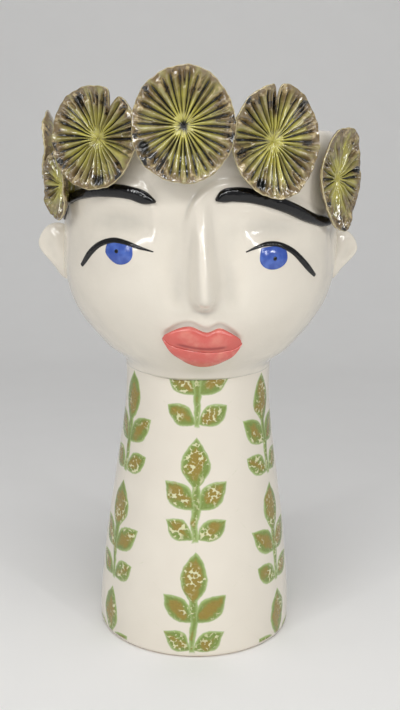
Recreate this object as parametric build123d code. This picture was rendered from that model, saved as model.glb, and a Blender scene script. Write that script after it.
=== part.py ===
from build123d import *
import math
import os
from typing import NamedTuple

# A hand-built earthenware face vase: a bell-shaped neck carries a hollow head, made as a face half and a
# back half. Nose, lips, brows and ears are laid on the wall, and a wreath of lily pads goes round the rim.
# Millimetres, +Z up, origin at the middle of the foot, the face looks along -Y.
# Left and right are as seen from the front.

# Neck: outside radii of the bell, from the foot up to the joint with the head
FOOT_RADIUS = 62.5
NECK_LOW_RADIUS = 57.0
NECK_LOW_HEIGHT = 70.0
NECK_HIGH_RADIUS = 49.5
NECK_HIGH_HEIGHT = 124.0
NECK_TOP_RADIUS = 45.5
NECK_HEIGHT = 172.0
FOOT_ROUND = 3.0

# Walls and the joints that hold them together
WALL = 7.0
FLOOR_THICKNESS = 9.0
FLOOR_LEDGE = 2.5
SPIGOT_HEIGHT = 5.0
SPIGOT_WALL = 3.5
JOINT_GAP = 0.2
RIM_ROUND = 2.8
RIM_ROUND_SECTIONS = 5


class Level(NamedTuple):
    """A level section of the head: its rise above the level below, and its reach from the upright axis."""

    rise: float
    half_width: float
    front: float
    back: float


JAW = Level(rise=12.0, half_width=55.0, front=57.0, back=53.0)
CHIN = Level(rise=18.0, half_width=70.5, front=70.0, back=66.0)
CHEEK = Level(rise=22.0, half_width=81.5, front=78.0, back=75.0)
EYE = Level(rise=28.0, half_width=84.5, front=80.0, back=79.0)
BROW = Level(rise=35.0, half_width=84.0, front=80.0, back=79.0)
RIM = Level(rise=30.2, half_width=80.0, front=77.0, back=76.0)
NECK_JOINT = Level(rise=0.0, half_width=NECK_TOP_RADIUS, front=NECK_TOP_RADIUS, back=NECK_TOP_RADIUS)
HEAD_LEVELS = [NECK_JOINT, JAW, CHIN, CHEEK, EYE, BROW, RIM]

# Heights of the features on the head are counted from the neck joint, those of the pads down from the rim
NOSE_BOTTOM = 48.0
NOSE_TIP_RISE = 7.0
NOSE_BRIDGE_RISE = 40.0
NOSE_TOP_RISE = 60.0
NOSE_TIP_REACH = 11.7
NOSE_BRIDGE_REACH = 5.1
NOSE_TOP_SINK = 1.0
NOSE_TIP_HALF_WIDTH = 7.5
NOSE_BRIDGE_HALF_WIDTH = 5.0
NOSE_TIP_ACROSS = 2.4
NOSE_TOP_ACROSS = -1.0
NOSE_ROOT_DEPTH = 9.0

MOUTH_ACROSS = 2.2
LIP_HALF_WIDTH = 21.5
LIP_CORNER = 30.0
LIP_BOW_PEAK = 38.5
LIP_BOW_DIP = 34.5
LIP_BOW_HALF_WIDTH = 9.0
LIP_LINE = 24.5
LIP_BOTTOM = 12.5
UPPER_LIP_THICKNESS = 4.0
LOWER_LIP_THICKNESS = 4.6

BROW_THICKNESS = 2.2

EAR_THICKNESS = 12.0
EAR_UPPER_RADIUS = 14.0
EAR_LOBE_RADIUS = 7.0
EAR_LOBE_REACH = 1.4
EAR_ROOT = 14.0
EAR_ROUND = 4.0
EAR_FORWARD = 5.0

PAD_THICKNESS = 4.0
PAD_DISH = 5.0
PAD_RIPPLE_SHARE = 0.035
PAD_RIPPLE_COUNT = 5
PAD_OUTLINE_POINTS = 20
SLIT_WIDTH = 7.0
SLIT_DEPTH = 14.0
WAD_RADIUS = 8.0

# Furrows pressed into the pads: each runs from near the hub to the rim and widens as it gets deeper
FURROW_SPACING = 6.0
FURROW_SPREAD_SHARE = 1.0
FURROW_STRAY_SHARE = 0.12
FURROW_STRAY_ANGLE = 137.5
FURROW_LIFT = 0.2


class FurrowStop(NamedTuple):
    """A furrow's depth at a share of the way to the rim. Below zero it has run out, above the surface."""

    rim_share: float
    depth: float


FURROW_STOPS = [
    FurrowStop(rim_share=0.16, depth=-0.1),
    FurrowStop(rim_share=0.45, depth=1.3),
    FurrowStop(rim_share=0.86, depth=1.8),
    FurrowStop(rim_share=0.95, depth=-0.1),
]


class Brow(NamedTuple):
    """A crescent brow, drawn on an upright plane that faces the azimuth: its ends, crest and belly."""

    azimuth_angle: float
    inner_across: float
    inner_height: float
    crest_across: float
    crest_height: float
    belly_across: float
    belly_height: float
    outer_across: float
    outer_height: float


BROWS = {
    "left_brow": Brow(
        azimuth_angle=-42.0,
        inner_across=32.5,
        inner_height=105.0,
        crest_across=0.0,
        crest_height=116.0,
        belly_across=0.0,
        belly_height=107.0,
        outer_across=-45.0,
        outer_height=91.0,
    ),
    "right_brow": Brow(
        azimuth_angle=35.0,
        inner_across=-38.5,
        inner_height=108.5,
        crest_across=-9.0,
        crest_height=114.5,
        belly_across=-6.0,
        belly_height=105.5,
        outer_across=39.5,
        outer_height=91.5,
    ),
}


class Ear(NamedTuple):
    """An ear: its side of the head (-1 left, 1 right), how far it stands out, its bottom and its height."""

    side: int
    reach: float
    bottom: float
    height: float


EARS = {
    "left_ear": Ear(side=-1, reach=16.2, bottom=54.5, height=35.0),
    "right_ear": Ear(side=1, reach=13.7, bottom=57.0, height=31.0),
}


class Pad(NamedTuple):
    """A lily pad: its hub's place on the head, gap to the wall, radii, turn, lean and any slit's angle."""

    azimuth_angle: float
    drop: float
    stand_off: float
    across: float
    upright: float
    turn_angle: float
    lean_angle: float
    slit_angle: float | None = None


PADS = {
    "lily_pad_front": Pad(
        azimuth_angle=-6.5, drop=1.0, stand_off=9.0, across=27.3, upright=29.8,
        turn_angle=5.5, lean_angle=2.0,
    ),
    "lily_pad_front_left": Pad(
        azimuth_angle=-41.0, drop=8.0, stand_off=3.0, across=28.5, upright=27.5,
        turn_angle=10.0, lean_angle=3.0, slit_angle=62.0,
    ),
    "lily_pad_front_right": Pad(
        azimuth_angle=27.0, drop=7.5, stand_off=2.2, across=27.0, upright=30.0,
        turn_angle=1.0, lean_angle=2.0, slit_angle=92.0,
    ),
    "lily_pad_left_low": Pad(
        azimuth_angle=-67.0, drop=34.5, stand_off=1.5, across=19.5, upright=20.0,
        turn_angle=10.0, lean_angle=-2.0,
    ),
    "lily_pad_right": Pad(
        azimuth_angle=64.0, drop=28.5, stand_off=1.5, across=24.0, upright=29.3,
        turn_angle=-8.0, lean_angle=0.0,
    ),
    "lily_pad_left_high": Pad(
        azimuth_angle=-90.0, drop=13.5, stand_off=3.0, across=21.0, upright=21.0,
        turn_angle=4.0, lean_angle=5.0,
    ),
    "lily_pad_back_left": Pad(
        azimuth_angle=-139.0, drop=16.0, stand_off=2.5, across=26.0, upright=27.0,
        turn_angle=0.0, lean_angle=3.0, slit_angle=110.0,
    ),
    "lily_pad_back": Pad(
        azimuth_angle=-176.0, drop=11.0, stand_off=2.5, across=28.0, upright=29.0,
        turn_angle=0.0, lean_angle=3.0,
    ),
    "lily_pad_back_right": Pad(
        azimuth_angle=147.0, drop=15.0, stand_off=2.5, across=27.0, upright=27.5,
        turn_angle=0.0, lean_angle=3.0, slit_angle=75.0,
    ),
    "lily_pad_right_rear": Pad(
        azimuth_angle=113.0, drop=27.0, stand_off=1.5, across=23.0, upright=23.5,
        turn_angle=0.0, lean_angle=2.0,
    ),
}

# Azimuths are counted from the way the face looks, in degrees, positive to the right
FRONT_AZIMUTH = 0
SIDE_AZIMUTH = 90

HEAD_HEIGHT = sum(level.rise for level in HEAD_LEVELS)
RIM_BASE = NECK_HEIGHT + HEAD_HEIGHT
RIM_HEIGHT = RIM_BASE + RIM_ROUND
NECK_THROAT_RADIUS = NECK_TOP_RADIUS - WALL
SPIGOT_RADIUS = NECK_THROAT_RADIUS + SPIGOT_WALL
FLOOR_RADIUS = FOOT_RADIUS - WALL + FLOOR_LEDGE
HEAD_REACH = 2 * max(max(level.half_width, level.front, level.back) for level in HEAD_LEVELS)


# Neck and floor
def neck_solid(inset):
    """The bell of the neck as a filled solid, drawn in by inset all round."""
    foot = (FOOT_RADIUS - inset, 0)
    low = (NECK_LOW_RADIUS - inset, NECK_LOW_HEIGHT)
    high = (NECK_HIGH_RADIUS - inset, NECK_HIGH_HEIGHT)
    top = (NECK_TOP_RADIUS - inset, NECK_HEIGHT)
    bell = Spline(foot, low, high, top, tangents=[(0, 1), (0, 1)])
    closing = Polyline(top, (0, NECK_HEIGHT), (0, 0), foot)
    return revolve(Plane.XZ * make_face(bell + closing), Axis.Z)


def disc(radius, low, high):
    """An upright cylinder on the axis, between two heights."""
    return Pos(0, 0, low) * Cylinder(radius, high - low, align=(Align.CENTER, Align.CENTER, Align.MIN))


def make_neck_wall():
    """The neck: open below for the floor slab, with a spigot on top that the head is set over."""
    wall = neck_solid(0) - neck_solid(WALL)
    foot_edge = wall.edges().filter_by(GeomType.CIRCLE).group_by(Axis.Z)[0].sort_by(SortBy.RADIUS)[-1]
    wall = fillet(foot_edge, FOOT_ROUND)
    wall -= disc(FLOOR_RADIUS + JOINT_GAP, 0, FLOOR_THICKNESS)
    spigot_top = NECK_HEIGHT + SPIGOT_HEIGHT
    spigot = disc(SPIGOT_RADIUS, NECK_HEIGHT, spigot_top)
    spigot -= disc(NECK_THROAT_RADIUS, NECK_HEIGHT, spigot_top)
    return wall + spigot


def make_floor_slab():
    """The floor, pushed up from below against the ledge in the neck wall."""
    return disc(FLOOR_RADIUS, 0, FLOOR_THICKNESS)


# Head
def head_section(level, height, grow):
    """A level section: half an ellipse in front of the side seam and half of another behind it."""
    half_width = level.half_width + grow
    front = EllipticalCenterArc((0, 0), half_width, level.front + grow, 180, arc_size=180)
    back = EllipticalCenterArc((0, 0), half_width, level.back + grow, 0, arc_size=180)
    return Pos(0, 0, height) * make_face(front + back)


def head_solid(grow):
    """The head below its rounded rim as a filled solid, with every section grown by the same amount."""
    sections = []
    height = NECK_HEIGHT
    for level in HEAD_LEVELS:
        height += level.rise
        sections.append(head_section(level, height, grow))
    return loft(sections)


def rim_solid(grow, draw_in):
    """The head's top above the last level, filled: its side curves through a quarter circle by draw_in."""
    sections = []
    for step in range(RIM_ROUND_SECTIONS):
        angle = math.pi / 2 * step / (RIM_ROUND_SECTIONS - 1)
        height = RIM_BASE + RIM_ROUND * math.sin(angle)
        sections.append(head_section(RIM, height, grow - draw_in * (1 - math.cos(angle))))
    return loft(sections)


def make_seat():
    """The head grown by the joint gap, up to the rim's top: what lies on the head is cut to it."""
    rim = extrude(head_section(RIM, RIM_BASE, JOINT_GAP), RIM_ROUND + JOINT_GAP)
    return head_solid(JOINT_GAP) + rim


def make_head_shells():
    """The hollow head with a rounded rim and a socket for the neck, cut along its side seam."""
    shell = head_solid(0) - head_solid(-WALL)
    shell += rim_solid(0, RIM_ROUND) - rim_solid(-WALL, -RIM_ROUND)
    shell -= disc(SPIGOT_RADIUS + JOINT_GAP, NECK_HEIGHT, NECK_HEIGHT + SPIGOT_HEIGHT + JOINT_GAP)
    return split(shell, Plane.XZ, keep=Keep.TOP), split(shell, Plane.XZ, keep=Keep.BOTTOM)


def point_on(seat, azimuth, height):
    """The point of the seat's outside at an azimuth and height."""
    across, forward = math.sin(math.radians(azimuth)), -math.cos(math.radians(azimuth))
    hits = seat.find_intersection_points(Axis((0, 0, height), (across, forward, 0)))
    return max((point for point, normal in hits), key=lambda point: point.X * across + point.Y * forward)


def facing_plane(origin, azimuth, lean=0.0):
    """An upright plane at origin that faces an azimuth, leaning back by lean degrees: X across, Y up."""
    turn, tilt = math.radians(azimuth), math.radians(lean)
    across = (math.cos(turn), math.sin(turn), 0)
    outward = (math.sin(turn) * math.cos(tilt), -math.cos(turn) * math.cos(tilt), math.sin(tilt))
    return Plane(origin=origin, x_dir=across, z_dir=outward)


# Features laid on the face: each is cut to the seat
def make_nose(seat):
    """A straight nose: level ellipses that stand further out towards the tip and run out at the top."""
    bottom = NECK_HEIGHT + NOSE_BOTTOM
    rings = [
        (0, NOSE_TIP_HALF_WIDTH / 2, NOSE_TIP_REACH / 2),
        (NOSE_TIP_RISE, NOSE_TIP_HALF_WIDTH, NOSE_TIP_REACH),
        (NOSE_BRIDGE_RISE, NOSE_BRIDGE_HALF_WIDTH, NOSE_BRIDGE_REACH),
        (NOSE_TOP_RISE, NOSE_BRIDGE_HALF_WIDTH, -NOSE_TOP_SINK),
    ]
    sections = []
    for rise, half_width, reach in rings:
        across = NOSE_TIP_ACROSS + (NOSE_TOP_ACROSS - NOSE_TIP_ACROSS) * rise / NOSE_TOP_RISE
        middle = NOSE_ROOT_DEPTH + point_on(seat, FRONT_AZIMUTH, bottom + rise).Y
        sections.append(Pos(across, middle, bottom + rise) * Ellipse(half_width, NOSE_ROOT_DEPTH + reach))
    return loft(sections) - seat


def laid_on(seat, outline, thickness):
    """What an outline drawn on an upright plane covers of a layer of the given thickness on the head."""
    layer = head_solid(thickness) - seat
    return extrude(outline, HEAD_REACH) & layer


def mouth_point(across, height):
    """A point of the mouth's outline, on the plane that faces the front."""
    return (MOUTH_ACROSS + across, NECK_HEIGHT + height)


def make_lips(seat):
    """Upper and lower lip, which meet along the mouth line."""
    front = facing_plane((0, 0, 0), FRONT_AZIMUTH)
    left, right = mouth_point(-LIP_HALF_WIDTH, LIP_CORNER), mouth_point(LIP_HALF_WIDTH, LIP_CORNER)
    mouth_line = ThreePointArc(left, mouth_point(0, LIP_LINE), right)
    bow = Spline(
        left,
        mouth_point(-LIP_BOW_HALF_WIDTH, LIP_BOW_PEAK),
        mouth_point(0, LIP_BOW_DIP),
        mouth_point(LIP_BOW_HALF_WIDTH, LIP_BOW_PEAK),
        right,
    )
    under = ThreePointArc(left, mouth_point(0, LIP_BOTTOM), right)
    upper = laid_on(seat, front * make_face(bow + mouth_line), UPPER_LIP_THICKNESS)
    lower = laid_on(seat, front * make_face(under + mouth_line), LOWER_LIP_THICKNESS)
    return upper, lower


def make_brow(seat, brow, clearance):
    """A raised crescent brow between two arcs, grown by a clearance for what has to stay off it."""
    inner = (brow.inner_across, NECK_HEIGHT + brow.inner_height)
    crest = (brow.crest_across, NECK_HEIGHT + brow.crest_height)
    belly = (brow.belly_across, NECK_HEIGHT + brow.belly_height)
    outer = (brow.outer_across, NECK_HEIGHT + brow.outer_height)
    outline = make_face(ThreePointArc(inner, crest, outer) + ThreePointArc(inner, belly, outer))
    if clearance:
        outline = offset(outline, clearance)
    plane = facing_plane((0, 0, 0), brow.azimuth_angle)
    return laid_on(seat, plane * outline, BROW_THICKNESS + clearance)


def make_ear(seat, ear):
    """An ear that stands out to one side: a round upper ear drawn down to a lobe."""
    bottom = NECK_HEIGHT + ear.bottom
    upper_height = bottom + ear.height - EAR_UPPER_RADIUS
    lobe_height = bottom + EAR_LOBE_RADIUS
    azimuth = ear.side * SIDE_AZIMUTH
    upper_side = abs(point_on(seat, azimuth, upper_height).X)
    lobe_side = abs(point_on(seat, azimuth, lobe_height).X)
    circles = [
        (upper_side + ear.reach - EAR_UPPER_RADIUS, upper_height, EAR_UPPER_RADIUS),
        (lobe_side + EAR_LOBE_REACH, lobe_height, EAR_LOBE_RADIUS),
        (upper_side - EAR_ROOT, upper_height, EAR_UPPER_RADIUS),
        (lobe_side - EAR_ROOT, lobe_height, EAR_LOBE_RADIUS),
    ]
    rounds = [Pos(ear.side * across, height) * Circle(radius) for across, height, radius in circles]
    outline = make_hull([edge for circle in rounds for edge in circle.edges()])
    plane = facing_plane((0, -EAR_FORWARD, 0), FRONT_AZIMUTH)
    plate = extrude(plane * outline, EAR_THICKNESS / 2, both=True)
    outer_edges = plate.edges().filter_by(Plane.XZ)
    return fillet(outer_edges, EAR_ROUND) - seat


# Wreath
def pad_outline(pad):
    """The rippled outline of a pad, flat, round its hub."""
    points = []
    for step in range(PAD_OUTLINE_POINTS):
        angle = math.tau * step / PAD_OUTLINE_POINTS
        ripple = 1 + PAD_RIPPLE_SHARE * math.cos(PAD_RIPPLE_COUNT * angle + math.radians(pad.azimuth_angle))
        points.append((pad.across * ripple * math.cos(angle), pad.upright * ripple * math.sin(angle)))
    return make_face(Spline(*points, periodic=True))


def pad_reach(pad):
    """The longest reach of a pad's outline from its hub."""
    return max(pad.across, pad.upright) * (1 + PAD_RIPPLE_SHARE)


def pad_dish(reach):
    """A shallow dish of even thickness whose rim stands forward of its hub."""
    back = ThreePointArc((0, 0), (reach / 2, PAD_DISH / 4), (reach, PAD_DISH))
    front = Pos(0, PAD_THICKNESS) * back
    outline = back + Line(back @ 1, front @ 1) + front + Line(front @ 0, back @ 0)
    return revolve(Plane.XZ * make_face(outline), Axis.Z)


def pad_slit(pad):
    """The wedge cut out of the rim of a split pad."""
    reach = pad_reach(pad)
    wedge = Polyline((reach - SLIT_DEPTH, 0), (reach, -SLIT_WIDTH / 2), (reach, SLIT_WIDTH / 2), close=True)
    return Rot(0, 0, pad.slit_angle) * extrude(make_face(wedge), PAD_DISH + PAD_THICKNESS)


def furrow_count(pad):
    """How many furrows go round a pad at their spacing along its rim."""
    return round(math.pi * (pad.across + pad.upright) / FURROW_SPACING)


def pad_furrow(pad, step):
    """What one furrow takes out of a pad's front: a groove with a sharp bottom, along a line from the hub."""
    stray = FURROW_STRAY_SHARE * math.sin(math.radians(FURROW_STRAY_ANGLE * step + pad.azimuth_angle))
    angle = math.tau * (step + stray) / furrow_count(pad)
    across, upright = pad.across * math.cos(angle), pad.upright * math.sin(angle)
    sections = []
    for stop in FURROW_STOPS:
        radius = math.hypot(across, upright) * stop.rim_share
        front = PAD_THICKNESS + PAD_DISH * (radius / pad_reach(pad)) ** 2
        bottom, top = front - stop.depth, front + FURROW_LIFT
        half_width = FURROW_SPREAD_SHARE * (top - bottom)
        outline = Polyline((0, bottom), (half_width, top), (-half_width, top), close=True)
        plane = Plane(origin=(radius, 0, 0), x_dir=(0, 1, 0), z_dir=(1, 0, 0))
        sections.append(plane * make_face(outline))
    return Rot(0, 0, math.degrees(math.atan2(upright, across))) * loft(sections, ruled=True)


def make_pad(seat, brow_rooms, pad):
    """A lily pad on its wad of clay, pressed flat against the wall below the rim, clear of the brows."""
    blade = pad_dish(pad_reach(pad)) & extrude(pad_outline(pad), PAD_DISH + PAD_THICKNESS)
    blade -= [pad_furrow(pad, step) for step in range(furrow_count(pad))]
    if pad.slit_angle is not None:
        blade -= pad_slit(pad)
    wad_drop = max(0, RIM_ROUND + WAD_RADIUS - pad.drop)
    wad = Pos(0, -wad_drop) * disc(WAD_RADIUS, -pad.stand_off - WALL, PAD_THICKNESS / 2)
    foot = point_on(seat, pad.azimuth_angle, RIM_HEIGHT - pad.drop - wad_drop)
    plane = facing_plane(foot, pad.azimuth_angle + pad.turn_angle, pad.lean_angle)
    hub = plane.origin + plane.z_dir * pad.stand_off + plane.y_dir * wad_drop
    placed = Plane(origin=hub, x_dir=plane.x_dir, z_dir=plane.z_dir) * (blade + wad)
    return placed - seat - brow_rooms


def make_parts():
    """Every piece of the vase by its name."""
    seat = make_seat()
    parts = {"floor_slab": make_floor_slab(), "neck_wall": make_neck_wall()}
    parts["face_shell"], parts["back_shell"] = make_head_shells()
    parts["nose"] = make_nose(seat)
    parts["upper_lip"], parts["lower_lip"] = make_lips(seat)
    for name, brow in BROWS.items():
        parts[name] = make_brow(seat, brow, 0)
    brow_rooms = [make_brow(seat, brow, JOINT_GAP) for brow in BROWS.values()]
    for name, ear in EARS.items():
        parts[name] = make_ear(seat, ear)
    for name, pad in PADS.items():
        parts[name] = make_pad(seat, brow_rooms, pad)
    return parts


def main():
    """Builds the vase and writes one STEP file per piece."""
    os.makedirs("parts", exist_ok=True)
    for name, part in make_parts().items():
        export_step(part, f"parts/{name}.step")
        print(name, "solids", len(part.solids()), "volume", round(part.volume))


if __name__ == "__main__":
    main()
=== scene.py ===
# %% [markdown]
# # A hand-built face vase
# A glazed earthenware vase is dressed here in Blender: a bell-shaped neck, a hollow head with a modelled
# face, and a wreath of lily pads round the open rim. The CAD solids give every place and size. Each piece
# of clay is then modelled as a mesh that follows its solid, with the softness that clay and glaze have.
# Lengths are written in millimetres and turned into Blender's metres at the end.

import math
import random
from typing import NamedTuple

import bmesh
import bpy
import numpy as np
from mathutils import Matrix, Vector, noise
from mathutils.bvhtree import BVHTree


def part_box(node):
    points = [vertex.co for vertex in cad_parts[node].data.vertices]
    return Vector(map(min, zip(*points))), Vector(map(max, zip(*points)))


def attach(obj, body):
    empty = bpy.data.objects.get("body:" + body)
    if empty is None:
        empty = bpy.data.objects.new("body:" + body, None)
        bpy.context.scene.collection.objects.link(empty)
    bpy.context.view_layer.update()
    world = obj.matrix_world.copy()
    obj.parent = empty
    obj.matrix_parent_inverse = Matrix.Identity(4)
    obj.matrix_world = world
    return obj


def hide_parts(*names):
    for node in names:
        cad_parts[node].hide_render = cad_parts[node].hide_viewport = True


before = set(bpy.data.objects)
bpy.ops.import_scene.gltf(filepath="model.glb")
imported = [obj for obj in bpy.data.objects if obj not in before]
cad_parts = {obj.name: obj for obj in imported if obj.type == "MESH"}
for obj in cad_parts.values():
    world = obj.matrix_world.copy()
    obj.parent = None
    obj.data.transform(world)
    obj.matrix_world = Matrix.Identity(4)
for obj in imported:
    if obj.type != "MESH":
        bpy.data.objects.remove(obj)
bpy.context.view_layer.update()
MM = 0.001
BODY = "root"

# %% [markdown]
# ## Camera
# The photograph looks slightly down on the vase from about the height of its rim. The place, tilt and
# angle of view below were found by matching the ellipses of the foot and the neck. The camera's three
# directions are worked out first, because a matrix made from them can't be turned the wrong way by a
# tracking helper.

# %% Set the camera
CAMERA_PLACE = Vector((1.2, -610.5, 311.0)) * MM
CAMERA_TILT = math.radians(12.3)
CAMERA_ROLL = math.radians(0.9)
CAMERA_VIEW = math.radians(40.0)

ahead = Vector((0, math.cos(CAMERA_TILT), -math.sin(CAMERA_TILT)))
level_up = Vector((0, math.sin(CAMERA_TILT), math.cos(CAMERA_TILT)))
right = math.cos(CAMERA_ROLL) * Vector((1, 0, 0)) + math.sin(CAMERA_ROLL) * level_up
camera_up = right.cross(ahead)
camera_data = bpy.data.cameras.new("camera")
camera_data.sensor_fit = "VERTICAL"
camera_data.angle = CAMERA_VIEW
camera = bpy.data.objects.new("camera", camera_data)
camera_turn = Matrix((right, camera_up, -ahead)).transposed().to_4x4()
camera.matrix_world = Matrix.Translation(CAMERA_PLACE) @ camera_turn
bpy.context.scene.collection.objects.link(camera)
bpy.context.scene.camera = camera
print("camera", round(CAMERA_PLACE.length, 3), "m from the foot")

# %% [markdown]
# ## Shader arithmetic
# A glaze is mostly arithmetic: where the glaze is thin it is pale, where it has run into a groove it is
# dark. The class below wraps one socket of a shader, so that such a rule can be written as a formula.
# Each operator adds one Math node, and `node` adds any other kind of node.


# %% Define the wires of a shader
class Wire:
    """One socket of a shader. Operators on it add Math nodes, and node() adds any other node."""

    def __init__(self, tree, socket=None):
        self.tree = tree
        self.socket = socket

    def node(self, kind, settings, values, output=0):
        """Adds a node: its settings first, then a plain value or a wire for each named input."""
        made = self.tree.nodes.new(kind)
        for name, setting in settings.items():
            setattr(made, name, setting)
        for key, value in values.items():
            if isinstance(value, Wire):
                self.tree.links.new(value.socket, made.inputs[key])
            else:
                made.inputs[key].default_value = value
        return Wire(self.tree, made.outputs[output])

    def math(self, operation, *values):
        """Adds a Math node with the given values or wires."""
        return self.node("ShaderNodeMath", {"operation": operation}, dict(enumerate(values)))

    def __add__(self, other):
        return self.math("ADD", self, other)

    def __radd__(self, other):
        return self.math("ADD", other, self)

    def __sub__(self, other):
        return self.math("SUBTRACT", self, other)

    def __rsub__(self, other):
        return self.math("SUBTRACT", other, self)

    def __mul__(self, other):
        return self.math("MULTIPLY", self, other)

    def __rmul__(self, other):
        return self.math("MULTIPLY", other, self)

    def __truediv__(self, other):
        return self.math("DIVIDE", self, other)

    def __rtruediv__(self, other):
        return self.math("DIVIDE", other, self)

    def __abs__(self):
        return self.math("ABSOLUTE", self)


print("wires can be added, subtracted, multiplied and divided")


# %% Define the tools of a glaze
def ease(value, low, high):
    """A soft step: 0 up to low, 1 from high on."""
    limits = {"Value": value, "From Min": low, "From Max": high}
    return value.node("ShaderNodeMapRange", {"interpolation_type": "SMOOTHSTEP"}, limits)


def blend(share, first, second):
    """A colour between two others. The colours of a Mix node are its inputs 6 and 7 and its output 2."""
    return share.node("ShaderNodeMix", {"data_type": "RGBA"}, {0: share, 6: first, 7: second}, 2)


def cloud(place, size, detail=2.0):
    """Soft noise from 0 to 1, with swells of about the given size in millimetres."""
    values = {"Vector": place, "Scale": 1 / (size * MM), "Detail": detail}
    return place.node("ShaderNodeTexNoise", {}, values)


def attribute(place, name):
    """A value that the mesh carries on its vertices."""
    return place.node("ShaderNodeAttribute", {"attribute_name": name}, {}, "Fac")


def bumps(height, depth, strength=1.0):
    """A normal that is tilted by a height from 0 to 1, worth the given depth in millimetres."""
    values = {"Height": height, "Distance": depth * MM, "Strength": strength}
    return height.node("ShaderNodeBump", {}, values)


def tone(red, green, blue):
    """A colour as seen on a screen, 0 to 255, in the linear values that a shader takes."""
    values = [part / 255 for part in (red, green, blue)]
    linear = [part / 12.92 if part <= 0.04045 else ((part + 0.055) / 1.055) ** 2.4 for part in values]
    return (*linear, 1.0)


print("the middle grey of a screen is", round(tone(128, 128, 128)[0], 2), "to a shader")


# %% Define how a material is made
def finish(name, paint):
    """A material from a function, which turns the object's coordinates into the values of its shader."""
    material = bpy.data.materials.new(name)
    material.use_nodes = True
    tree = material.node_tree
    tree.nodes.clear()
    start = Wire(tree)
    place = start.node("ShaderNodeTexCoord", {}, {}, "Object")
    shader = start.node("ShaderNodeBsdfPrincipled", {}, paint(place))
    output = tree.nodes.new("ShaderNodeOutputMaterial")
    tree.links.new(shader.socket, output.inputs["Surface"])
    print("material", name, "has", len(tree.nodes), "nodes")
    return material


# %% [markdown]
# ## White glaze
# A white earthenware glaze isn't one white. It is warm where it lies thin on a ridge, and the brush leaves
# slow swells that break up every highlight. The hollows are painted a cool grey, which is painted shade.
# The head's mesh will carry a value which says how deep in a hollow each vertex lies, and so how grey it is
# painted.

# %% Mix the white glaze
WHITE_THIN = tone(229, 222, 208)
WHITE_BODY = tone(221, 213, 199)
# Painted shade: the grey that the hollows of the head and the ears are painted.
WHITE_SHADE = tone(180, 177, 167)
WHITE_SWELL = 26
WHITE_COAT, WHITE_COAT_ROUGHNESS = 0.25, 0.06


def paint_white(place):
    """Warm on ridges, painted shade in the hollows, with slow swells, thumb marks and brush marks."""
    pool = attribute(place, "pool")
    swell = cloud(place, WHITE_SWELL)
    thumbed = cloud(place, 11)
    brushed = cloud(place, 4)
    colour = blend(swell, WHITE_BODY, WHITE_THIN)
    # Painted shade: the hollows are blended towards grey.
    colour = blend(ease(pool + brushed * 0.1, 0.08, 0.9), colour, WHITE_SHADE)
    height = swell * 0.7 + thumbed * 0.4 + brushed * 0.16
    return {
        "Base Color": colour,
        "Roughness": 0.1 + 0.08 * brushed,
        "Coat Weight": WHITE_COAT,
        "Coat Roughness": WHITE_COAT_ROUGHNESS,
        "Normal": bumps(height, 1.2, 0.6),
    }


white_glaze = finish("white_glaze", paint_white)

# %% [markdown]
# ## The wall of the head, measured
# The head is an egg whose sections change from level to level. Instead of copying its sizes, rays are shot
# at the CAD wall from the side, the front and the back at many heights, and a smooth polynomial is laid
# through each set of hits. The misfit that is printed shows how closely the curves follow the wall.

# %% Measure the wall
face_low, face_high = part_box("face_shell")
JOINT = face_low.z / MM
RIM = face_high.z / MM
SEAM = JOINT - 0.5
HEAD_LOW, HEAD_HIGH, HEAD_DEGREE = JOINT + 0.5, RIM - 4, 9
NECK_LOW, NECK_HIGH, NECK_DEGREE = 4, SEAM, 6
RAYS = 60
FAR = 0.4
WAYS = {"front": Vector((0, -1, 0)), "side": Vector((1, 0, 0)), "back": Vector((0, 1, 0))}


def wall_tree(*names):
    """A search tree over the triangles of some CAD nodes."""
    mesh = bmesh.new()
    for name in names:
        mesh.from_mesh(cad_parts[name].data)
    tree = BVHTree.FromBMesh(mesh)
    mesh.free()
    return tree


def wall_curve(tree, way, low, high, degree):
    """A polynomial for the wall's reach from the axis, in mm, against the height."""
    heights = np.linspace(low, high, RAYS)
    reaches = []
    for height in heights:
        start = Vector((0, 0, height * MM)) + way * FAR
        reaches.append(tree.ray_cast(start, -way)[0].dot(way) / MM)
    curve = np.polynomial.Polynomial.fit(heights, reaches, degree)
    print("wall curve misfit", round(float(np.abs(curve(heights) - reaches).max()), 2), "mm")
    return curve


head_tree = wall_tree("face_shell", "back_shell")
wall_curves = {}
for name, way in WAYS.items():
    wall_curves[name] = wall_curve(head_tree, way, HEAD_LOW, HEAD_HIGH, HEAD_DEGREE)
neck_curve = wall_curve(wall_tree("neck_wall"), WAYS["side"], NECK_LOW, NECK_HIGH, NECK_DEGREE)

# %% [markdown]
# ## The egg and its joint with the neck
# Clay that has been luted together has no sharp inside corner: the potter smooths a roll of slip into it.
# A soft maximum of two radii does just that. Above the joint the head is the larger and wins, below it the
# neck wins, and where they meet the sum is a little more than either, which is the fillet. The potter has
# pushed the neck's clay up at the sides and the back, so the corner there lies above the joint, while the
# chin hangs a little over it.

# %% Shape the egg
FILLET = 2.2
CHIN_RAISE = {"front": -1.5, "side": 6.0, "back": 4.5}
CHIN_SPAN = 15.0
EYE_LEVEL = 250.0
TURN_STEP, HEIGHT_STEP = 0.004, 0.3


def soft_step(low, high, value):
    """0 up to low, 1 from high on, and a smooth S between them."""
    share = np.clip((value - low) / (high - low), 0, 1)
    return share * share * (3 - 2 * share)


def soft_band(rise, fall, value):
    """1 between two soft steps, which are given as pairs, and 0 beyond them."""
    return soft_step(*rise, value) * (1 - soft_step(*fall, value))


def mound(across, up):
    """A round mound: 1 at its middle and about a third at a distance of 1."""
    return np.exp(-(across**2) - up**2)


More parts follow.
